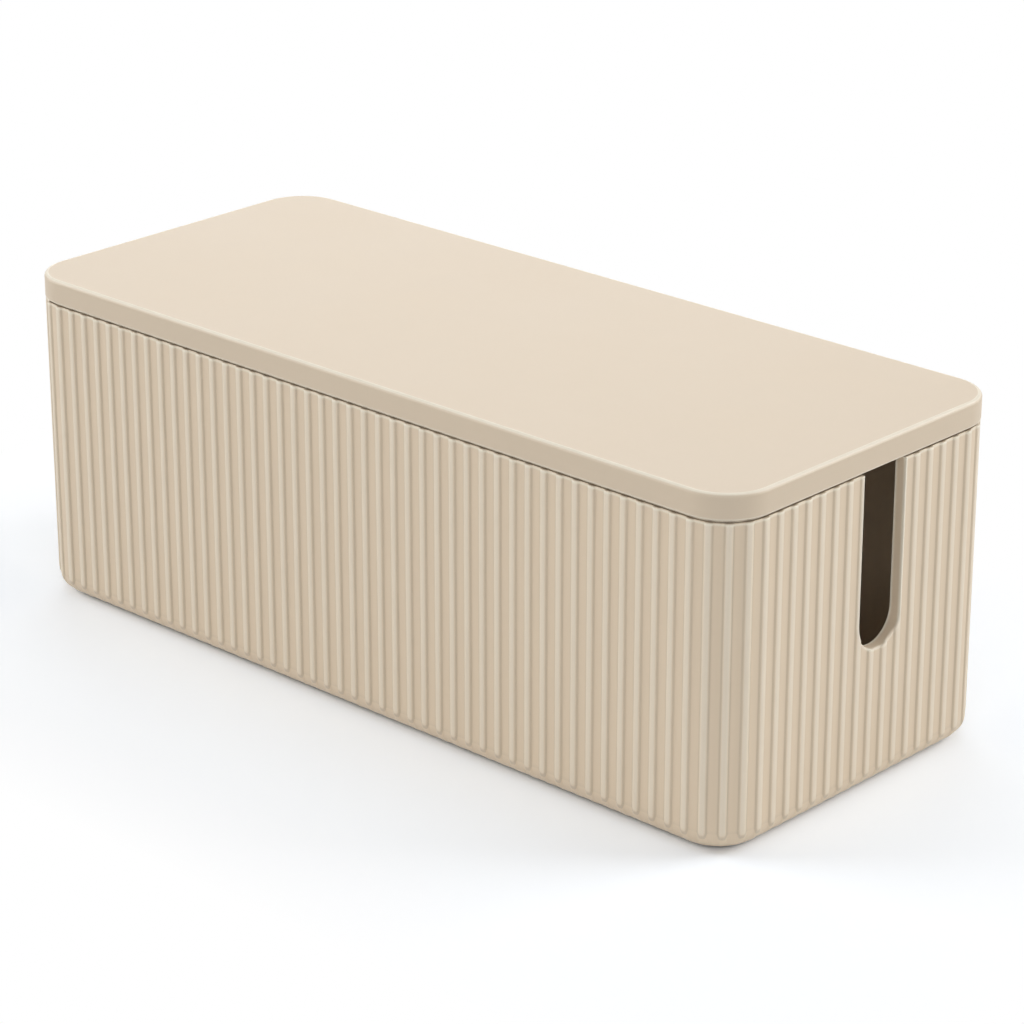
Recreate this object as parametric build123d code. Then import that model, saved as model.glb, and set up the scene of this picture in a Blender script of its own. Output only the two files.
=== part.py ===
from build123d import *
import math
import os

os.makedirs("parts", exist_ok=True)

# A cable management box: a fluted tub on four rubber feet, and a flat lid that lifts off.
# Millimetres. X is the length, Y the width, Z up, with the feet standing on z = 0.

# ---- overall sizes ----
box_length = 400.0
box_width = 167.0
box_height = 149.0
corner_radius = 21.0
bottom_edge_radius = 10.0

# ---- flutes: ridges share the straight runs and the corners evenly ----
ridge_steps_long = 44
ridge_steps_short = 15
ridge_steps_corner = 4
flute_depth = 1.0
ridge_crest_share = 0.31
ridge_flank_share = 0.11
ridge_overrun = 0.5

# ---- tub shell ----
wall_behind_flutes = 2.4
floor_thickness = 3.0
inner_edge_radius = 7.0

# ---- rim, tongue and the shadow gap under the lid ----
shadow_gap_height = 1.4
shadow_gap_depth = 2.2

# ---- cable slots, one in each end ----
slot_width = 26.4
slot_bottom_height = 61.5
slot_steps_off_centre = 1
slot_flute_offset = 0.6
collar_band = 3.0
collar_depth = 2.4
lip_overlap = 0.6

# ---- lid ----
lid_thickness = 10.5
lid_skin = 2.6
lid_top_edge_radius = 1.4
lid_bottom_edge_break = 0.4
skirt_clearance = 0.5
skirt_wall = 1.8
skirt_drop = 7.0
skirt_lead_in = 0.6
skirt_slot_clearance = 2.5
rib_thickness = 1.6
rib_height = 4.5
cross_rib_count = 5
pocket_corner_floor = 1.0

# ---- feet ----
foot_diameter = 18.0
foot_thickness = 2.2
foot_proud = 1.0
foot_edge_break = 0.4
foot_recess_clearance = 0.3
foot_inset_x = 34.0
foot_inset_y = 32.0

# ---- derived levels ----
tub_bottom = foot_proud
tongue_top = box_height - lid_thickness
rim_level = tongue_top - shadow_gap_height
inner_floor = tub_bottom + floor_thickness
wall_inset = flute_depth + wall_behind_flutes
slot_radius = slot_width / 2
slot_centre_height = slot_bottom_height + slot_radius
short_pitch = (box_width - 2 * corner_radius) / ridge_steps_short
slot_centre_y = slot_steps_off_centre * short_pitch + slot_flute_offset
skirt_inset = wall_inset + skirt_clearance
skirt_bottom = tongue_top - skirt_drop
foot_x = box_length / 2 - foot_inset_x
foot_y = box_width / 2 - foot_inset_y


def plan(inset):
    """The rounded rectangle of the box seen from above, moved inwards by inset."""
    radius = max(corner_radius - inset, pocket_corner_floor)
    return RectangleRounded(box_length - 2 * inset, box_width - 2 * inset, radius)


def block(inset, low, high):
    """An upright block with the box's plan, between two levels."""
    return Pos(0, 0, low) * extrude(plan(inset), high - low)


def lower_edges(solid):
    return solid.edges().group_by(Axis.Z)[0]


def upper_edges(solid):
    return solid.edges().group_by(Axis.Z)[-1]


def ridge_stations():
    """Centre, outward direction and pitch of every ridge, once around the box."""
    half_x = box_length / 2 - corner_radius
    half_y = box_width / 2 - corner_radius
    long_pitch = 2 * half_x / ridge_steps_long
    arc_angle = 90.0 / ridge_steps_corner
    arc_pitch = corner_radius * math.radians(arc_angle)
    stations = []
    for step in range(1, ridge_steps_long):
        along = step * long_pitch - half_x
        stations.append((along, -half_y - corner_radius, -90.0, long_pitch))
        stations.append((along, half_y + corner_radius, 90.0, long_pitch))
    for step in range(1, ridge_steps_short):
        along = step * short_pitch - half_y
        stations.append((half_x + corner_radius, along, 0.0, short_pitch))
        stations.append((-half_x - corner_radius, along, 180.0, short_pitch))
    for quadrant in range(4):
        sign_x = (1, -1, -1, 1)[quadrant]
        sign_y = (1, 1, -1, -1)[quadrant]
        for step in range(ridge_steps_corner + 1):
            angle = 90.0 * quadrant + step * arc_angle
            x = sign_x * half_x + corner_radius * math.cos(math.radians(angle))
            y = sign_y * half_y + corner_radius * math.sin(math.radians(angle))
            stations.append((x, y, angle, arc_pitch))
    return stations


def ridge_bars(low, high):
    """Upright bars with sloping flanks, one on each station, proud of the box on purpose."""
    bars = []
    depth = flute_depth + ridge_overrun
    for x, y, angle, pitch in ridge_stations():
        flank = ridge_flank_share * pitch
        crest = ridge_crest_share * pitch / 2
        slope = flank / flute_depth
        outer = crest - slope * ridge_overrun
        inner = crest + slope * depth
        corners = [(ridge_overrun, -outer), (ridge_overrun, outer)]
        corners += [(-depth, inner), (-depth, -inner)]
        section = make_face(Polyline(*corners, close=True))
        placed = Location((x, y, low), (0, 0, angle)) * section
        bars.append(extrude(placed, high - low))
    return bars


def slot_block(side, grow, near, far):
    """A U-shaped block along X, open at the top, for one end of the box."""
    radius = slot_radius + grow
    straight = box_height - slot_centre_height
    shape = Pos(0, straight / 2) * Rectangle(2 * radius, straight) + Circle(radius)
    outwards = (side, 0, 0)
    start = Plane((side * near, slot_centre_y, slot_centre_height), x_dir=(0, side, 0), z_dir=outwards)
    return extrude(start * shape, far - near)


def make_tub():
    crest = block(0, tub_bottom, tongue_top)
    crest = fillet(lower_edges(crest), bottom_edge_radius)
    valley = block(flute_depth, tub_bottom, tongue_top)
    valley = fillet(lower_edges(valley), bottom_edge_radius - flute_depth)
    ridges = [bar & crest for bar in ridge_bars(tub_bottom, tongue_top)]
    body = valley.fuse(*ridges)

    # the ledge outside the tongue makes the dark gap under the lid
    above_rim = block(-ridge_overrun, rim_level, tongue_top)
    body -= above_rim - block(shadow_gap_depth, rim_level, tongue_top)

    cavity = block(wall_inset, inner_floor, box_height)
    body -= fillet(lower_edges(cavity), inner_edge_radius)

    # each slot has a thicker lip on the inside of the wall
    crest_face = box_length / 2
    inner_face = crest_face - wall_inset
    for side in (-1, 1):
        lip = slot_block(side, collar_band, inner_face - collar_depth, inner_face + lip_overlap)
        body += lip & block(wall_inset - lip_overlap, inner_floor, rim_level)
        body -= slot_block(side, 0, inner_face - collar_depth - lip_overlap, crest_face)

    recess_radius = foot_diameter / 2 + foot_recess_clearance
    recess = Pos(0, 0, 0) * extrude(Circle(recess_radius), foot_thickness)
    for x in (-foot_x, foot_x):
        for y in (-foot_y, foot_y):
            body -= Pos(x, y, 0) * recess
    return body


def make_lid():
    plate = block(0, tongue_top, box_height)
    plate = fillet(upper_edges(plate), lid_top_edge_radius)
    plate = chamfer(lower_edges(plate), lid_bottom_edge_break)

    skirt = block(skirt_inset, skirt_bottom, tongue_top + lid_skin)
    skirt = chamfer(lower_edges(skirt), skirt_lead_in)
    body = plate + skirt

    pocket_top = box_height - lid_skin
    body -= block(skirt_inset + skirt_wall, skirt_bottom, pocket_top)

    # the skirt stops short of the slots, so a cable has the whole opening
    gap_width = slot_width + 2 * (collar_band + skirt_slot_clearance)
    end_face = box_length / 2 - skirt_inset
    gap_depth = skirt_wall + collar_depth
    for side in (-1, 1):
        x = side * (end_face - gap_depth / 2 + lip_overlap)
        gap = Box(gap_depth + 2 * lip_overlap, gap_width, skirt_drop)
        body -= Pos(x, slot_centre_y, tongue_top - skirt_drop / 2) * gap

    # stiffening ribs under the skin
    rib_z = pocket_top - rib_height / 2
    pocket = block(skirt_inset + skirt_wall / 2, skirt_bottom, pocket_top)
    spine = Pos(0, 0, rib_z) * Box(box_length, rib_thickness, rib_height)
    body += spine & pocket
    spacing = box_length / (cross_rib_count + 1)
    for number in range(cross_rib_count):
        x = (number + 1) * spacing - box_length / 2
        rib = Pos(x, 0, rib_z) * Box(rib_thickness, box_width, rib_height)
        body += rib & pocket
    return body


def make_foot():
    pad = extrude(Circle(foot_diameter / 2), foot_thickness)
    return chamfer(lower_edges(pad), foot_edge_break)


tub = make_tub()
lid = make_lid()
foot = make_foot()

export_step(tub, "parts/tub.step")
export_step(lid, "parts/lid.step")
for end, x in (("left", -foot_x), ("right", foot_x)):
    for row, y in (("front", -foot_y), ("rear", foot_y)):
        placed_foot = Pos(x, y, 0) * foot
        export_step(placed_foot, f"parts/foot_{row}_{end}.step")
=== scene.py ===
"""A cable management box in warm beige plastic: a fluted tub, a flat lid that lifts off and four rubber feet."""

import math

import bmesh
import bpy
from mathutils import Matrix, Vector


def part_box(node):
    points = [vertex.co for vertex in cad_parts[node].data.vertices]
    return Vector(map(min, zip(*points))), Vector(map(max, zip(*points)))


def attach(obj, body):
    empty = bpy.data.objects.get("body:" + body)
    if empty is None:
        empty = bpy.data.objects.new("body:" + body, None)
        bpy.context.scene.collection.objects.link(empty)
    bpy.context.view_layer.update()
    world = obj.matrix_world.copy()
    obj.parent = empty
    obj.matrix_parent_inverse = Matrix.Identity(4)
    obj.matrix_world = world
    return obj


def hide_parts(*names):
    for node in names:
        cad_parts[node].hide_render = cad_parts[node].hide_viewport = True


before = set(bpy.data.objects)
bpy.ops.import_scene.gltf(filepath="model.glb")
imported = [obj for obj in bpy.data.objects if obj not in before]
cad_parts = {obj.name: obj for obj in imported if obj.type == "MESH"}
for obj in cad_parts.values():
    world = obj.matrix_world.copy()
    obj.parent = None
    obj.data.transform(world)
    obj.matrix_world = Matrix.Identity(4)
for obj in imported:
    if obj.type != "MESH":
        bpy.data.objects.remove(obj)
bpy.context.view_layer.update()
TUB_LOW, TUB_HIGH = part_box("tub")
LID_LOW, LID_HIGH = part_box("lid")

bl_info = {
    "name": "Cable Management Box",
    "version": (1, 0, 0),
    "blender": (4, 5, 0),
    "location": "3D View > Sidebar > Cable Box",
    "description": "Builds a fluted cable box with a lift-off lid on its frame",
    "category": "Object",
}

MM = 0.001


# ---------------------------------------------------------------- sizes and colours


def length(name, description, default):
    """A length that the sidebar shows in the scene's unit."""
    return bpy.props.FloatProperty(
        name=name, description=description, default=default, unit="LENGTH", subtype="DISTANCE", precision=5
    )


def colour(name, description, default):
    """A colour of a finish, as the shader takes it."""
    return bpy.props.FloatVectorProperty(
        name=name, description=description, default=default, subtype="COLOR", size=3, min=0.0, max=1.0
    )


class BoxSizes(bpy.types.PropertyGroup):
    corner_radius: length("Corner radius", "Radius of the upright corners", 21 * MM)
    bottom_radius: length("Bottom radius", "Rounding where the walls turn under", 10 * MM)
    flute_depth: length("Flute depth", "How far a valley lies behind the ridges", 1.0 * MM)
    wall: length("Wall", "Thickness from the crests to the inside", 3.4 * MM)
    floor: length("Floor", "Thickness of the tub's floor", 3.0 * MM)
    inner_radius: length("Inner radius", "Rounding inside, between wall and floor", 7.0 * MM)
    gap_height: length("Gap height", "Height of the dark gap under the lid", 1.4 * MM)
    gap_depth: length("Gap depth", "How far the tongue stands back in the gap", 2.2 * MM)
    rim_edge: length("Rim edge", "Rounding of the tub's fluted rim", 0.55 * MM)
    slot_width: length("Slot width", "Width of the cable slots", 26.4 * MM)
    slot_bottom: length("Slot bottom", "Height of the lowest point of a slot", 61.5 * MM)
    slot_centre: length("Slot centre", "Middle of the slots, off the middle of the end", (25 / 3 + 0.6) * MM)
    slot_edge: length("Slot edge", "Rounding of the slot's mouth", 1.0 * MM)
    collar_band: length("Lip band", "Width of the thicker lip around a slot", 3.0 * MM)
    collar_depth: length("Lip depth", "How far the lip stands into the tub", 2.4 * MM)
    lid_top_edge: length("Lid top edge", "Rounding of the lid's upper edge", 1.6 * MM)
    lid_bottom_edge: length("Lid bottom edge", "Rounding of the lid's lower edge", 0.4 * MM)
    lid_skin: length("Lid skin", "Thickness of the lid's plate", 2.6 * MM)
    skirt_wall: length("Skirt wall", "Thickness of the lid's locating skirt", 1.8 * MM)
    skirt_clearance: length("Skirt clearance", "Play between the skirt and the tub", 0.5 * MM)
    rib_height: length("Rib height", "Height of the ribs under the lid", 4.5 * MM)
    rib_thickness: length("Rib thickness", "Thickness of the ribs under the lid", 1.6 * MM)
    foot_radius: length("Foot radius", "Radius of a foot's recess in the tub", 9.3 * MM)
    foot_recess: length("Foot recess", "Height of the foot recesses above the table", 2.2 * MM)
    foot_x: length("Foot X", "Feet from the middle, along the box", 166 * MM)
    foot_y: length("Foot Y", "Feet from the middle, across the box", 51.5 * MM)
    ridges_long: bpy.props.IntProperty(name="Ridges long", description="Flute steps along a side", default=44, min=4)
    ridges_short: bpy.props.IntProperty(name="Ridges short", description="Flute steps across an end", default=15, min=3)
    ridges_corner: bpy.props.IntProperty(name="Ridges corner", description="Flute steps in a corner", default=4, min=2)


class BoxColours(bpy.types.PropertyGroup):
    # painted light: tub and lid are one beige plastic, but the tub's copy is set lighter and the lid's darker, to even
    # out how the lamps light the walls and the lid's top
    tub: colour("Tub", "Warm beige of the tub's plastic", (0.815, 0.665, 0.487))
    lid: colour("Lid", "Warm beige of the lid's plastic", (0.725, 0.595, 0.440))
    rubber: colour("Rubber", "Colour of the feet", (0.035, 0.033, 0.031))
    studio: colour("Studio", "Colour of the floor and the backdrop", (0.80, 0.82, 0.85))


# ---------------------------------------------------------------- small helpers for modelling


def only(*objs):
    """Leaves just these objects selected, the first one active."""
    if bpy.context.object and bpy.context.object.mode != "OBJECT":
        bpy.ops.object.mode_set(mode="OBJECT")
    bpy.ops.object.select_all(action="DESELECT")
    for obj in objs:
        obj.select_set(True)
    bpy.context.view_layer.objects.active = objs[0]


def edit(obj):
    only(obj)
    bpy.ops.object.mode_set(mode="EDIT")


def done():
    bpy.ops.object.mode_set(mode="OBJECT")


def pick(kind, test):
    """Selects the vertices, edges or faces in edit mode that pass a test of their place."""
    bpy.ops.mesh.select_mode(type=kind)
    bpy.ops.mesh.select_all(action="DESELECT")
    mesh = bpy.context.edit_object.data
    shell = bmesh.from_edit_mesh(mesh)
    found = 0
    for item in {"VERT": shell.verts, "EDGE": shell.edges, "FACE": shell.faces}[kind]:
        if test(item):
            item.select_set(True)
            found += 1
    shell.select_flush_mode()
    bmesh.update_edit_mesh(mesh)
    if not found:
        raise RuntimeError("nothing to select on " + bpy.context.edit_object.name)
    return found


def level(height, tolerance=1e-6):
    """A test: every corner of the edge or face lies at this height."""
    return lambda item: all(abs(v.co.z - height) < tolerance for v in item.verts)


def creased(edge):
    """A test: the two faces of the edge meet at an angle."""
    return len(edge.link_faces) == 2 and edge.link_faces[0].normal.dot(edge.link_faces[1].normal) < 0.5


def move(x=0.0, y=0.0, z=0.0):
    bpy.ops.transform.translate(value=(x, y, z), orient_type="GLOBAL")


def extrude_faces(x=0.0, y=0.0, z=0.0):
    bpy.ops.mesh.extrude_region_move(TRANSFORM_OT_translate={"value": (x, y, z), "orient_type": "GLOBAL"})


def extrude_edges(x=0.0, y=0.0, z=0.0):
    bpy.ops.mesh.extrude_edges_move(TRANSFORM_OT_translate={"value": (x, y, z), "orient_type": "GLOBAL"})


def bevel(width, segments, profile=0.5):
    bpy.ops.mesh.bevel(offset=width, offset_type="OFFSET", segments=segments, profile=profile, clamp_overlap=False)


def apply(obj, name, kind, **settings):
    """Adds a modifier, sets it up and applies it."""
    only(obj)
    modifier = obj.modifiers.new(name, kind)
    for key, value in settings.items():
        setattr(modifier, key, value)
    bpy.ops.object.modifier_apply(modifier=name)


def combine(obj, operation, other):
    """Cuts with or adds another closed shape, which is used up."""
    apply(obj, operation, "BOOLEAN", operation=operation, object=other, solver="EXACT")
    bpy.data.objects.remove(other, do_unlink=True)


def join(*objs):
    only(*objs)
    bpy.ops.object.join()
    return bpy.context.object


def settle(obj, angle=27):
    """Puts the place into the mesh, clears slivers and shades the piece, with its large faces kept flat."""
    only(obj)
    bpy.ops.object.transform_apply(location=True, rotation=True, scale=True)
    edit(obj)
    bpy.ops.mesh.select_all(action="SELECT")
    bpy.ops.mesh.remove_doubles(threshold=0.004 * MM)
    bpy.ops.mesh.dissolve_degenerate(threshold=0.004 * MM)
    done()
    bpy.ops.object.shade_smooth_by_angle(angle=math.radians(angle))
    apply(obj, "even_shading", "WEIGHTED_NORMAL", keep_sharp=True)


# ---------------------------------------------------------------- the plan of the box


# Columns of one flute as shares of its pitch from the ridge's middle, and how deep each lies.
FLUTE = (
    (0.0, 0.0), (0.06, 0.005), (0.104, 0.05), (0.145, 0.19), (0.178, 0.40),
    (0.216, 0.71), (0.241, 0.87), (0.27, 0.96), (0.31, 0.99), (0.5, 1.0),
)


def columns():
    """The shares of one pitch at which the outline has a point, from one ridge to the next."""
    shares = [share for share, _ in FLUTE]
    return shares + [1.0 - share for share in reversed(shares[1:-1])]


def depth_at(place, sizes):
    """How deep in its flute a point of the plan lies, as a share of the flutes' depth."""
    half_x = TUB_HIGH[0] - sizes.corner_radius
    half_y = TUB_HIGH[1] - sizes.corner_radius
    beyond_x, beyond_y = abs(place.x) - half_x, abs(place.y) - half_y
    if beyond_x > 0 and beyond_y > 0:
        turn = math.degrees(math.atan2(beyond_y, beyond_x)) / 90 * sizes.ridges_corner
    elif beyond_y > beyond_x:
        turn = (place.x + half_x) / (2 * half_x) * sizes.ridges_long
    else:
        turn = (place.y + half_y) / (2 * half_y) * sizes.ridges_short
    share = min(turn % 1, 1 - turn % 1)
    for (low, shallow), (high, deep) in zip(FLUTE, FLUTE[1:]):
        if share <= high:
            return shallow + (deep - shallow) * (share - low) / (high - low)
    return 1.0


def stations(sizes):
    """Every column around the box: a point on the corners' centre line and the way out from it."""
    half_x = TUB_HIGH[0] - sizes.corner_radius
    half_y = TUB_HIGH[1] - sizes.corner_radius
    runs = (
        (Vector((-half_x, -half_y)), Vector((half_x, -half_y)), -90, sizes.ridges_long),
        (Vector((half_x, -half_y)), Vector((half_x, half_y)), 0, sizes.ridges_short),
        (Vector((half_x, half_y)), Vector((-half_x, half_y)), 90, sizes.ridges_long),
        (Vector((-half_x, half_y)), Vector((-half_x, -half_y)), 180, sizes.ridges_short),
    )
    found = []
    for start, end, facing, steps in runs:
        for step in range(steps):
            for share in columns():
                found.append((start.lerp(end, (step + share) / steps), math.radians(facing)))
        for step in range(sizes.ridges_corner):
            for share in columns():
                found.append((end, math.radians(facing + 90 * (step + share) / sizes.ridges_corner)))
    return found


def plan_outline(name, sizes, height):
    """The box's outline along the crests as a ring of vertices, one for each column."""
    around = stations(sizes)
    bpy.ops.object.select_all(action="DESELECT")
    bpy.ops.mesh.primitive_circle_add(vertices=len(around), radius=TUB_HIGH[0], fill_type="NOTHING")
    ring = bpy.context.object
    ring.name = ring.data.name = name
    for vertex, (centre, angle) in zip(ring.data.vertices, around):
        outward = Vector((math.cos(angle), math.sin(angle)))
        vertex.co = (*(centre + outward * sizes.corner_radius), height)
    return ring


def u_shape(name, sizes, grow, x, top, vertices=96):
    """A U-shaped face across one end at x, round at the bottom and straight up to a height."""
    radius = sizes.slot_width / 2 + grow
    middle = sizes.slot_bottom + sizes.slot_width / 2
    bpy.ops.object.select_all(action="DESELECT")
    bpy.ops.mesh.primitive_circle_add(
        vertices=vertices, radius=radius, fill_type="NGON", location=(x, sizes.slot_centre, middle),
        rotation=(math.pi / 2, 0, math.pi / 2),
    )
    face = bpy.context.object
    face.name = face.data.name = name
    bpy.ops.object.transform_apply(location=True, rotation=True, scale=True)
    edit(face)
    pick("VERT", lambda v: v.co.z > middle + 1e-5)
    widen = 1 / math.cos(math.tau / vertices)
    bpy.ops.transform.resize(value=(1, widen, 0), center_override=(0, sizes.slot_centre, middle))
    move(z=top - middle)
    done()
    return face


def far_end_copy(obj):
    """The same shape at the other end of the box."""
    only(obj)
    bpy.ops.object.duplicate()
    twin = bpy.context.object
    bpy.ops.transform.resize(value=(-1, 1, 1), center_override=(0, 0, 0))
    bpy.ops.object.transform_apply(location=True, rotation=True, scale=True)
    edit(twin)
    bpy.ops.mesh.select_all(action="SELECT")
    bpy.ops.mesh.normals_make_consistent(inside=False)
    done()
    return twin


# ---------------------------------------------------------------- finishes


class Value:
    """A shader socket that takes part in ordinary sums."""

    def __init__(self, tree, socket):
        self.tree, self.socket = tree, socket

    def maths(self, operation, left, right=None):
        return self.tree.node("ShaderNodeMath", {"operation": operation}, [left, right])[0]

    def __add__(self, other):
        return self.maths("ADD", self, other)

    def __radd__(self, other):
        return self.maths("ADD", other, self)

    def __sub__(self, other):
        return self.maths("SUBTRACT", self, other)

    def __rsub__(self, other):
        return self.maths("SUBTRACT", other, self)

    def __mul__(self, other):
        return self.maths("MULTIPLY", self, other)

    def __rmul__(self, other):
        return self.maths("MULTIPLY", other, self)

    def __truediv__(self, other):
        return self.maths("DIVIDE", self, other)

    def clamp(self):
        return self.tree.node("ShaderNodeClamp", {}, [self])[0]


class Tree:
    """The nodes of one material or world."""

    def __init__(self, owner):
        owner.use_nodes = True
        self.nodes, self.links = owner.node_tree.nodes, owner.node_tree.links
        self.nodes.clear()

    def node(self, kind, settings=None, inputs=()):
        """Adds a node, sets its settings, then fills its sockets, and returns its outputs."""
        made = self.nodes.new(kind)
        for key, value in (settings or {}).items():
            if key == "stops":
                ramp = made.color_ramp.elements
                while len(ramp) < len(value):
                    ramp.new(0.5)
                for stop, (position, shade) in zip(ramp, value):
                    stop.position, stop.color = position, shade
            else:
                setattr(made, key, value)
        pairs = inputs.items() if isinstance(inputs, dict) else enumerate(inputs)
        for key, value in pairs:
            if value is None:
                continue
            if isinstance(value, Value):
                self.links.new(value.socket, made.inputs[key])
            else:
                made.inputs[key].default_value = value
        return [Value(self, socket) for socket in made.outputs]

    def texture(self, kind, place, settings=None, **inputs):
        named = {"Vector": place}
        named.update({key.replace("_", " "): value for key, value in inputs.items()})
        return self.node(kind, settings, named)

    def blend(self, factor, first, second):
        """Mixes two colours."""
        first, second = (each if isinstance(each, Value) else (*each, 1.0) for each in (first, second))
        return self.node("ShaderNodeMix", {"data_type": "RGBA"}, {"Factor": factor, 6: first, 7: second})[2]

    def vector(self, operation, first, second=None):
        """Works on the three parts of a place at once; a length comes out as a number."""
        made = self.node("ShaderNodeVectorMath", {"operation": operation}, [first, second])
        return made[1] if operation == "LENGTH" else made[0]

    def surface(self, shader):
        self.node("ShaderNodeOutputMaterial", {}, {"Surface": shader})


def highlight_tint(shade, share):
    """A shade blended towards cream, the colour given to the painted highlights."""
    return tuple(part + (cream - part) * share for part, cream in zip(shade, (1.0, 0.93, 0.78)))


def reach_inwards(tree, place, sizes):
    """How far a place lies inside the upright outline of the box, as a shader value."""
    half = (TUB_HIGH[0] - sizes.corner_radius, TUB_HIGH[1] - sizes.corner_radius, 10.0)
    beyond = tree.vector("SUBTRACT", tree.vector("ABSOLUTE", place), half)
    return sizes.corner_radius - tree.vector("LENGTH", tree.vector("MAXIMUM", beyond, (0.0, 0.0, 0.0)))


def painted_flute_shading(tree, place, cloud, base, shade, sizes):
    """Painted shade at the foot of the flutes' flanks, and a painted highlight that makes the ridges pale."""
    inwards = reach_inwards(tree, place, sizes)
    height = (1.0 - inwards / sizes.flute_depth).clamp()
    # painted shade: low on each flank, near the valley, the colour is painted darker
    foot = (height * 8.0).clamp() * ((0.75 - height) * 4.0).clamp()
    base = tree.blend(foot * (0.85 + 0.3 * cloud), base, tuple(part * 0.81 for part in shade))
    # painted highlight: the raised ridges are painted lighter
    ridge = ((height - 0.55) * 2.8).clamp()
    return tree.blend(ridge * (0.36 + 0.12 * cloud), base, highlight_tint(shade, 0.8))


def painted_lid_highlight(tree, place, cloud, base, shade, sizes):
    """A painted highlight: a pale band along the top of the lid's rounding."""
    height = tree.node("ShaderNodeSeparateXYZ", {}, [place])[2]
    # painted highlight on the upper part of the lid's top-edge rounding
    line = ((sizes.lid_top_edge + 0.4 * MM - reach_inwards(tree, place, sizes)) / (0.5 * MM)).clamp()
    line = line * ((height - (LID_HIGH[2] - 0.8 * MM)) / (0.5 * MM)).clamp()
    return tree.blend(line * (0.7 + 0.3 * cloud), base, highlight_tint(shade, 0.9))


def moulded_plastic(name, shade, roughness, edge, painted_light, sizes):
    """Matt injection-moulded plastic: spark-eroded grain, slow drift, painted highlights on rounded edges, painted
    shade in narrow recesses.
    """
    material = bpy.data.materials.new(name)
    tree = Tree(material)
    place = tree.node("ShaderNodeTexCoord")[3]
    grain = tree.texture("ShaderNodeTexNoise", place, Scale=2600.0, Detail=3.0, Roughness=0.6)[0]
    pebble = tree.texture("ShaderNodeTexNoise", place, Scale=900.0, Detail=2.0, Roughness=0.5)[0]
    drift = tree.texture("ShaderNodeTexNoise", place, Scale=14.0, Detail=3.0, Roughness=0.55)[0]
    cloud = tree.texture("ShaderNodeTexNoise", place, Scale=70.0, Detail=3.0, Roughness=0.6)[0]
    light = tuple(min(1.0, part * 1.035) for part in shade)
    dark = tuple(part * 0.955 for part in shade)
    share = (0.55 * drift + 0.25 * cloud + 0.20 * pebble).clamp()
    base = tree.blend(share, dark, light)

    # painted highlight: rounded outer edges are painted lighter; painted shade: deep narrow places, such as the gap
    # under the lid, are painted darker
    within = tree.node(
        "ShaderNodeAmbientOcclusion", {"samples": 8, "inside": True, "only_local": True}, {"Distance": edge}
    )[1]
    around = tree.node("ShaderNodeAmbientOcclusion", {"samples": 8}, {"Distance": 0.0020})[1]
    # the piece's own painted shade and painted highlight, from the function passed in
    base = painted_light(tree, place, cloud, base, shade, sizes)
    edge_highlight = ((1.0 - within) * (2.8 + 0.6 * cloud) - 0.1).clamp()
    base = tree.blend(edge_highlight, base, highlight_tint(shade, 0.85))
    # painted shade: where other surfaces close in, as in the gap under the lid, the colour is painted dark brown
    dusty = ((0.52 - around) * 4.0).clamp()
    base = tree.blend(dusty, base, tuple(part * tone for part, tone in zip(shade, (0.16, 0.11, 0.06))))

    relief = 0.55 * grain + 0.45 * pebble
    bump = tree.node("ShaderNodeBump", {}, {"Strength": 0.22, "Distance": 0.00012, "Height": relief})[0]
    rough = roughness - 0.05 + 0.06 * drift + 0.05 * grain
    shader = tree.node(
        "ShaderNodeBsdfPrincipled", {},
        {"Base Color": base, "Roughness": rough, "Specular IOR Level": 0.8, "Normal": bump},
    )[0]
    tree.surface(shader)
    return material


def rubber(name, shade):
    """Dark foam rubber of the stuck-on feet, with a dusty open grain."""
    material = bpy.data.materials.new(name)
    tree = Tree(material)
    place = tree.node("ShaderNodeTexCoord")[3]
    grain = tree.texture("ShaderNodeTexNoise", place, Scale=1500.0, Detail=4.0, Roughness=0.7)[0]
    dust = tree.texture("ShaderNodeTexNoise", place, Scale=160.0, Detail=3.0, Roughness=0.6)[0]
    pale = tuple(min(1.0, part * 2.2 + 0.02) for part in shade)
    base = tree.blend((0.6 * dust + 0.3 * grain - 0.2).clamp(), shade, pale)
    bump = tree.node("ShaderNodeBump", {}, {"Strength": 0.5, "Distance": 0.0003, "Height": grain})[0]
    shader = tree.node(
        "ShaderNodeBsdfPrincipled", {},
        {"Base Color": base, "Roughness": 0.78 + 0.15 * dust, "Specular IOR Level": 0.3, "Normal": bump},
    )[0]
    tree.surface(shader)
    return material


def give(obj, material):
    obj.data.materials.clear()
    obj.data.materials.append(material)


# ---------------------------------------------------------------- the pieces


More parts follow.
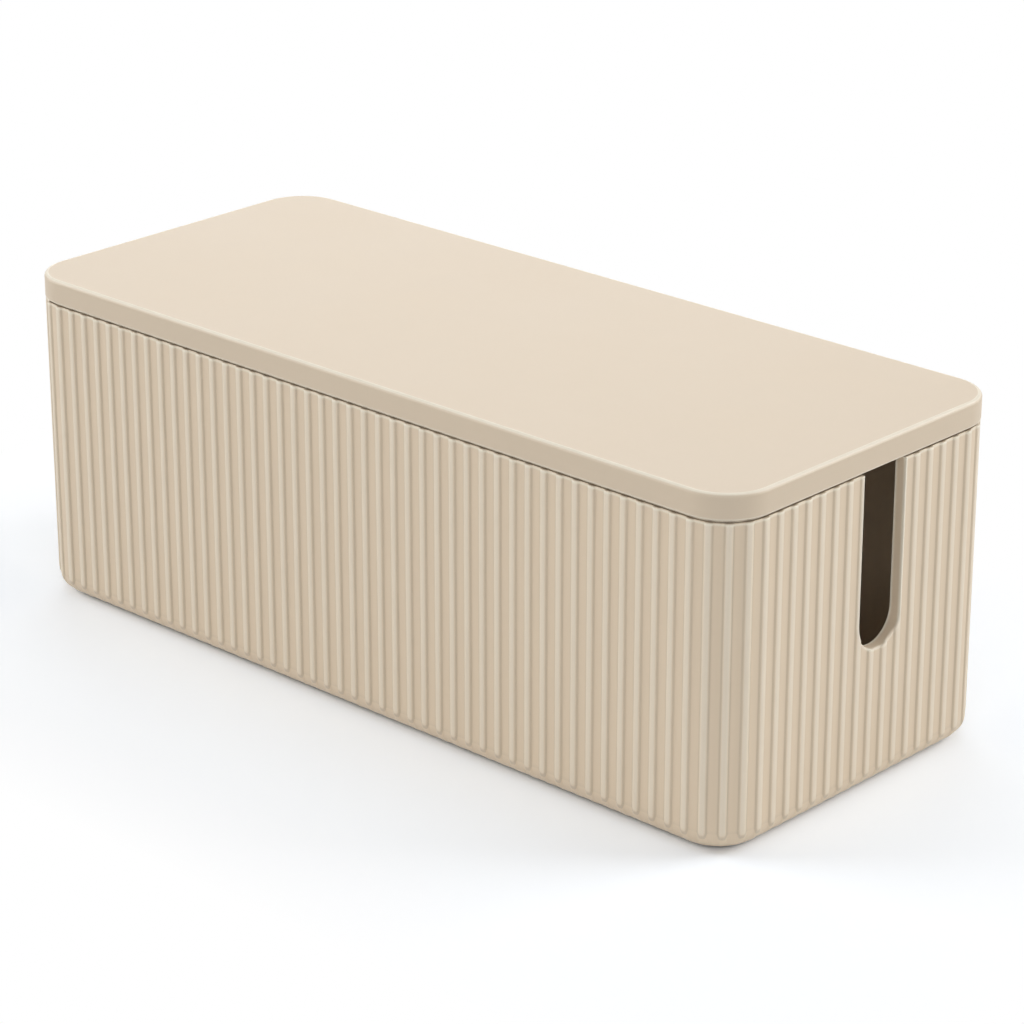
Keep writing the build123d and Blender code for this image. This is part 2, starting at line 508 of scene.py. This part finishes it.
class CABLEBOX_OT_tub(bpy.types.Operator):
    """Moulds the fluted tub with its rim, tongue, slots and foot recesses"""

    bl_idname = "cablebox.tub"
    bl_label = "Mould the Tub"

    def execute(self, context):
        sizes = context.scene.cable_box_sizes
        bottom = TUB_LOW[2]
        tongue_top = TUB_HIGH[2]
        rim = tongue_top - sizes.gap_height
        inner_floor = bottom + sizes.floor

        # outline and wall, the ledge under the gap, the tongue, then down to the floor inside
        tub = plan_outline("tub_moulding", sizes, bottom)
        edit(tub)
        bpy.ops.mesh.select_all(action="SELECT")
        bpy.ops.mesh.edge_face_add()
        bpy.ops.mesh.select_mode(type="FACE")
        extrude_faces(z=rim - bottom)
        pick("FACE", level(rim))
        bpy.ops.mesh.inset(thickness=sizes.gap_depth, depth=0.0)
        extrude_faces(z=sizes.gap_height)
        bpy.ops.mesh.inset(thickness=sizes.wall - sizes.gap_depth, depth=0.0)
        extrude_faces(z=inner_floor - tongue_top)
        bpy.ops.mesh.select_all(action="SELECT")
        bpy.ops.mesh.normals_make_consistent(inside=False)

        # rounded edges, then the flutes pressed in
        pick("EDGE", level(bottom))
        bevel(sizes.bottom_radius, 10)
        pick("EDGE", level(inner_floor))
        bevel(sizes.inner_radius, 7)
        pick("EDGE", lambda edge: level(tongue_top)(edge) and creased(edge))
        bevel(0.3 * MM, 2)
        outer = sizes.corner_radius - 0.1 * MM
        pick("EDGE", lambda edge: level(rim)(edge) and all(self.reach(v.co, sizes) > outer for v in edge.verts))
        bevel(sizes.rim_edge, 4)
        done()
        self.press_flutes(tub, sizes, bottom)

        # the thicker lip round each slot, the slots and the feet's recesses
        inner_face = TUB_HIGH[0] - sizes.wall
        lip = u_shape("lip", sizes, sizes.collar_band, inner_face - sizes.collar_depth, rim)
        edit(lip)
        bpy.ops.mesh.select_all(action="SELECT")
        extrude_faces(x=sizes.collar_depth + 0.6 * MM)
        bpy.ops.mesh.select_all(action="SELECT")
        bpy.ops.mesh.normals_make_consistent(inside=False)
        done()
        combine(tub, "UNION", join(lip, far_end_copy(lip)))

        cutter = self.slot_cutter(sizes)
        shapes = [cutter, far_end_copy(cutter)]
        for x in (-sizes.foot_x, sizes.foot_x):
            for y in (-sizes.foot_y, sizes.foot_y):
                bpy.ops.object.select_all(action="DESELECT")
                bpy.ops.mesh.primitive_cylinder_add(
                    vertices=64, radius=sizes.foot_radius, depth=sizes.foot_recess, location=(x, y, sizes.foot_recess / 2)
                )
                shapes.append(bpy.context.object)
        combine(tub, "DIFFERENCE", join(*shapes))

        settle(tub)
        colours = context.scene.cable_box_colours
        give(tub, moulded_plastic("tub_plastic", colours.tub, 0.50, 1.6 * MM, painted_flute_shading, sizes))
        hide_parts("tub")
        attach(tub, "base")
        return {"FINISHED"}

    def outward(self, point, sizes):
        """The way out from the corners' centre lines to a point of the plan."""
        half_x = TUB_HIGH[0] - sizes.corner_radius
        half_y = TUB_HIGH[1] - sizes.corner_radius
        x = math.copysign(max(abs(point.x) - half_x, 0.0), point.x)
        y = math.copysign(max(abs(point.y) - half_y, 0.0), point.y)
        return Vector((x, y)).normalized()

    def reach(self, point, sizes):
        """Distance of a point of the plan from the corners' centre lines."""
        half_x = TUB_HIGH[0] - sizes.corner_radius
        half_y = TUB_HIGH[1] - sizes.corner_radius
        return math.hypot(max(abs(point.x) - half_x, 0.0), max(abs(point.y) - half_y, 0.0))

    def press_flutes(self, tub, sizes, bottom):
        """Moves each point of the outside straight in by its flute's depth, fading at the bottom edge."""
        outside = sizes.corner_radius - sizes.rim_edge - 0.1 * MM
        inside = sizes.corner_radius - sizes.wall + 0.1 * MM
        ways = (("X", 1), ("X", -1), ("Y", 1), ("Y", -1))
        groups = [tub.vertex_groups.new(name=f"flutes_{axis}{sign}") for axis, sign in ways]
        for vertex in tub.data.vertices:
            drop = max(0.0, bottom + sizes.bottom_radius - vertex.co.z) / sizes.bottom_radius
            reach = self.reach(vertex.co, sizes)
            lined = vertex.co.z > bottom + sizes.floor - 0.1 * MM and reach < inside
            if drop >= 1 or lined or (drop == 0 and reach < outside):
                continue
            depth = depth_at(vertex.co, sizes) * (1.0 - drop)
            out = self.outward(vertex.co, sizes)
            for group, (axis, sign) in zip(groups, ways):
                share = depth * sign * (out.x if axis == "X" else out.y)
                if share > 0:
                    group.add([vertex.index], share, "REPLACE")
        for axis, sign in ways:
            apply(
                tub, "flutes", "DISPLACE", strength=-sign * sizes.flute_depth, mid_level=0.0, direction=axis,
                vertex_group=f"flutes_{axis}{sign}",
            )
        tub.vertex_groups.clear()

    def slot_cutter(self, sizes):
        """A U-shaped plug for one slot, flared to a rounding that follows the flutes outside."""
        edge, outside, crest = sizes.slot_edge, TUB_HIGH[0] + 1.0 * MM, TUB_HIGH[0]
        first, steps = 30, 5
        cutter = u_shape(
            "slot_cutter", sizes, edge * (1 - math.sin(math.radians(first))), outside, TUB_HIGH[2] + 4 * MM, 384
        )
        edit(cutter)
        bpy.ops.mesh.select_all(action="SELECT")
        extrude_faces(x=crest - outside)
        bpy.ops.mesh.select_all(action="SELECT")
        bpy.ops.mesh.normals_make_consistent(inside=False)
        pick("FACE", lambda face: all(abs(v.co.x - crest) < 1e-6 for v in face.verts))
        for step in range(steps):
            before, after = (math.radians(first + (90 - first) * s / steps) for s in (step, step + 1))
            bpy.ops.mesh.inset(
                thickness=edge * (math.sin(after) - math.sin(before)), depth=edge * (math.cos(before) - math.cos(after))
            )
        extrude_faces(x=-(sizes.wall + sizes.collar_depth))
        bpy.ops.mesh.select_all(action="SELECT")
        bpy.ops.mesh.normals_make_consistent(inside=False)
        done()
        group = cutter.vertex_groups.new(name="flutes")
        for vertex in cutter.data.vertices:
            if crest - edge - 0.1 * MM < vertex.co.x < crest + 0.1 * MM:
                group.add([vertex.index], depth_at(vertex.co, sizes), "REPLACE")
        apply(
            cutter, "flutes", "DISPLACE", strength=-sizes.flute_depth, mid_level=0.0, direction="X",
            vertex_group="flutes",
        )
        cutter.vertex_groups.clear()
        return cutter


class CABLEBOX_OT_lid(bpy.types.Operator):
    """Moulds the flat lid with its rounded edges, locating skirt and ribs"""

    bl_idname = "cablebox.lid"
    bl_label = "Mould the Lid"

    def execute(self, context):
        sizes = context.scene.cable_box_sizes
        plate_low = TUB_HIGH[2]
        top = LID_HIGH[2]
        skirt_low = LID_LOW[2]
        skirt_inset = sizes.wall + sizes.skirt_clearance

        bpy.ops.object.select_all(action="DESELECT")
        bpy.ops.mesh.primitive_plane_add(size=1)
        lid = bpy.context.object
        lid.name = lid.data.name = "lid_moulding"
        edit(lid)
        bpy.ops.mesh.select_all(action="SELECT")
        bpy.ops.transform.resize(value=(2 * LID_HIGH[0], 2 * LID_HIGH[1], 1))
        move(z=plate_low)
        bpy.ops.mesh.select_mode(type="VERT")
        bpy.ops.mesh.bevel(offset=sizes.corner_radius, affect="VERTICES", segments=32, profile=0.5)
        bpy.ops.mesh.select_mode(type="FACE")
        bpy.ops.mesh.select_all(action="SELECT")
        extrude_faces(z=top - plate_low)
        pick("EDGE", level(top))
        bevel(sizes.lid_top_edge, 6)
        pick("EDGE", level(plate_low))
        bevel(sizes.lid_bottom_edge, 3)
        bpy.ops.mesh.select_all(action="SELECT")
        bpy.ops.mesh.normals_make_consistent(inside=False)

        # skirt drawn down from the underside, then the pocket inside it
        pick("FACE", level(plate_low))
        bpy.ops.mesh.inset(thickness=skirt_inset - sizes.lid_bottom_edge, depth=0.0)
        extrude_faces(z=skirt_low - plate_low)
        pick("EDGE", level(skirt_low))
        bevel(0.5 * MM, 2)
        pick("FACE", level(skirt_low))
        bpy.ops.mesh.inset(thickness=sizes.skirt_wall - 0.5 * MM, depth=0.0)
        extrude_faces(z=top - sizes.lid_skin - skirt_low)
        done()

        # the skirt stays open at the slots
        opening = sizes.slot_width + 2 * (sizes.collar_band + 2.5 * MM)
        end_face = LID_HIGH[0] - skirt_inset
        gaps = []
        for side in (-1, 1):
            gaps.append(
                self.block(
                    (side * (end_face - 1.5 * MM), sizes.slot_centre, (skirt_low + plate_low) / 2 - 0.5 * MM),
                    (6 * MM, opening, plate_low - skirt_low + 1 * MM),
                )
            )
        combine(lid, "DIFFERENCE", join(*gaps))

        # ribs under the plate, with softened lower edges
        pocket_top = top - sizes.lid_skin
        inner_x = LID_HIGH[0] - skirt_inset - sizes.skirt_wall / 2
        inner_y = LID_HIGH[1] - skirt_inset - sizes.skirt_wall / 2
        height = sizes.rib_height
        middle = pocket_top + 0.4 * MM - (height + 0.4 * MM) / 2
        ribs = [self.block((0, 0, middle), (2 * inner_x, sizes.rib_thickness, height + 0.4 * MM), 0.4 * MM)]
        for number in range(5):
            x = (number - 2) * 2 * LID_HIGH[0] / 6
            ribs.append(self.block((x, 0, middle), (sizes.rib_thickness, 2 * inner_y, height + 0.4 * MM), 0.4 * MM))
        for rib in ribs:
            combine(lid, "UNION", rib)

        settle(lid)
        colours = context.scene.cable_box_colours
        give(lid, moulded_plastic("lid_plastic", colours.lid, 0.48, 0.9 * MM, painted_lid_highlight, sizes))
        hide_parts("lid")
        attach(lid, "lid")
        return {"FINISHED"}

    def block(self, centre, size, soften=0.0):
        bpy.ops.object.select_all(action="DESELECT")
        bpy.ops.mesh.primitive_cube_add(size=1, location=centre)
        made = bpy.context.object
        bpy.ops.transform.resize(value=size)
        bpy.ops.object.transform_apply(location=True, rotation=True, scale=True)
        if soften:
            low = centre[2] - size[2] / 2
            edit(made)
            pick("EDGE", level(low))
            bevel(soften, 2)
            done()
        return made


class CABLEBOX_OT_feet(bpy.types.Operator):
    """Gives the four feet their rubber"""

    bl_idname = "cablebox.feet"
    bl_label = "Finish the Feet"

    def execute(self, context):
        material = rubber("foot_rubber", context.scene.cable_box_colours.rubber)
        for name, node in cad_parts.items():
            if name.startswith("foot"):
                for slot in node.material_slots:
                    slot.material = material
        return {"FINISHED"}


class CABLEBOX_OT_stage(bpy.types.Operator):
    """Sets the pale floor, the soft lights and the camera"""

    bl_idname = "cablebox.stage"
    bl_label = "Set the Stage"

    def execute(self, context):
        scene = context.scene
        scene.view_settings.view_transform = "Standard"
        self.floor(scene.cable_box_colours.studio)
        self.world(scene)
        self.lamp("left_softbox", -146, 27, 1.1, 15.8)
        self.lamp("right_softbox", 50, 27, 1.1, 18.2)
        self.lamp("front_softbox", -46, 21, 1.2, 9.6)
        self.lamp("back_softbox", 135, 25, 1.2, 6.9)
        self.lamp("top_softbox", 0, 90, 1.6, 8.0)
        self.camera(scene)
        return {"FINISHED"}

    def floor(self, shade):
        bpy.ops.object.select_all(action="DESELECT")
        bpy.ops.mesh.primitive_plane_add(size=14)
        ground = bpy.context.object
        ground.name = "studio_floor"
        material = bpy.data.materials.new("studio_paper")
        tree = Tree(material)
        paper = tree.node("ShaderNodeBsdfDiffuse", {}, {"Color": (*shade, 1.0)})[0]
        seen = tree.node("ShaderNodeLightPath")
        bright = tuple(part * tint for part, tint in zip(shade, (0.485, 0.52, 0.555)))
        lift = tree.node("ShaderNodeBsdfDiffuse", {}, {"Color": (*bright, 1.0)})[0]
        near = tree.node("ShaderNodeAddShader", {}, [paper, lift])[0]
        white = tree.node("ShaderNodeEmission", {}, {"Color": (1, 1, 1, 1), "Strength": 1.0})[0]
        place = tree.vector("ABSOLUTE", tree.node("ShaderNodeTexCoord")[3])
        beyond = tree.vector("SUBTRACT", place, (LID_HIGH[0], LID_HIGH[1], 0.0))
        away = tree.vector("LENGTH", tree.vector("MAXIMUM", beyond, (0.0, 0.0, 0.0)))
        shown = tree.node("ShaderNodeMixShader", {}, [((away - 0.015) / 0.13).clamp(), near, white])[0]
        tree.surface(tree.node("ShaderNodeMixShader", {}, [(seen[0] + seen[3]).clamp(), paper, shown])[0])
        give(ground, material)

    def world(self, scene):
        world = bpy.data.worlds.new("studio_air")
        scene.world = world
        tree = Tree(world)
        seen = tree.node("ShaderNodeLightPath")
        shown = (seen[0] + seen[3] + seen[6]).clamp()
        air = tree.node("ShaderNodeBackground", {}, {"Color": (1, 1, 1, 1), "Strength": 0.1})[0]
        white = tree.node("ShaderNodeBackground", {}, {"Color": (1, 1, 1, 1), "Strength": 1.0})[0]
        mixed = tree.node("ShaderNodeMixShader", {}, [shown, air, white])[0]
        tree.node("ShaderNodeOutputWorld", {}, {"Surface": mixed})

    def lamp(self, name, around, over, size, power):
        """A square softbox that faces the box, placed by its angle around it and its angle over the floor."""
        light = bpy.data.lights.new(name, "AREA")
        light.shape, light.size, light.energy = "SQUARE", size, power
        lamp = bpy.data.objects.new(name, light)
        bpy.context.scene.collection.objects.link(lamp)
        around, over = math.radians(around), math.radians(over)
        away = Vector((math.cos(around) * math.cos(over), math.sin(around) * math.cos(over), math.sin(over)))
        lamp.location = Vector((0, 0, 0.06)) + 1.9 * away
        lamp.rotation_euler = (-away).to_track_quat("-Z", "Y").to_euler()

    def camera(self, scene):
        lens = bpy.data.cameras.new("camera")
        lens.sensor_width, lens.lens = 36.0, 126.966
        camera = bpy.data.objects.new("camera", lens)
        scene.collection.objects.link(camera)
        around, over = math.radians(43.0868), math.radians(21.8352)
        back = Vector((math.sin(around) * math.cos(over), -math.cos(around) * math.cos(over), math.sin(over)))
        camera.location = (0.97574, -1.03050, 0.63505)
        camera.rotation_euler = (-back).to_track_quat("-Z", "Y").to_euler()
        scene.camera = camera


class CABLEBOX_PT_sidebar(bpy.types.Panel):
    """Sizes, colours and pieces of the cable box"""

    bl_label = "Cable Box"
    bl_idname = "CABLEBOX_PT_sidebar"
    bl_space_type = "VIEW_3D"
    bl_region_type = "UI"
    bl_category = "Cable Box"

    def draw(self, context):
        for group in (context.scene.cable_box_sizes, context.scene.cable_box_colours):
            column = self.layout.column(align=True)
            for name in group.__annotations__:
                column.prop(group, name)
        for piece in PIECES:
            self.layout.operator(piece.bl_idname)


PIECES = (CABLEBOX_OT_tub, CABLEBOX_OT_lid, CABLEBOX_OT_feet, CABLEBOX_OT_stage)
CLASSES = (BoxSizes, BoxColours, *PIECES, CABLEBOX_PT_sidebar)


def register():
    for each in CLASSES:
        bpy.utils.register_class(each)
    bpy.types.Scene.cable_box_sizes = bpy.props.PointerProperty(type=BoxSizes)
    bpy.types.Scene.cable_box_colours = bpy.props.PointerProperty(type=BoxColours)


def unregister():
    del bpy.types.Scene.cable_box_colours
    del bpy.types.Scene.cable_box_sizes
    for each in reversed(CLASSES):
        bpy.utils.unregister_class(each)


def main():
    register()
    bpy.ops.cablebox.tub()
    bpy.ops.cablebox.lid()
    bpy.ops.cablebox.feet()
    bpy.ops.cablebox.stage()


if __name__ == "__main__":
    main()
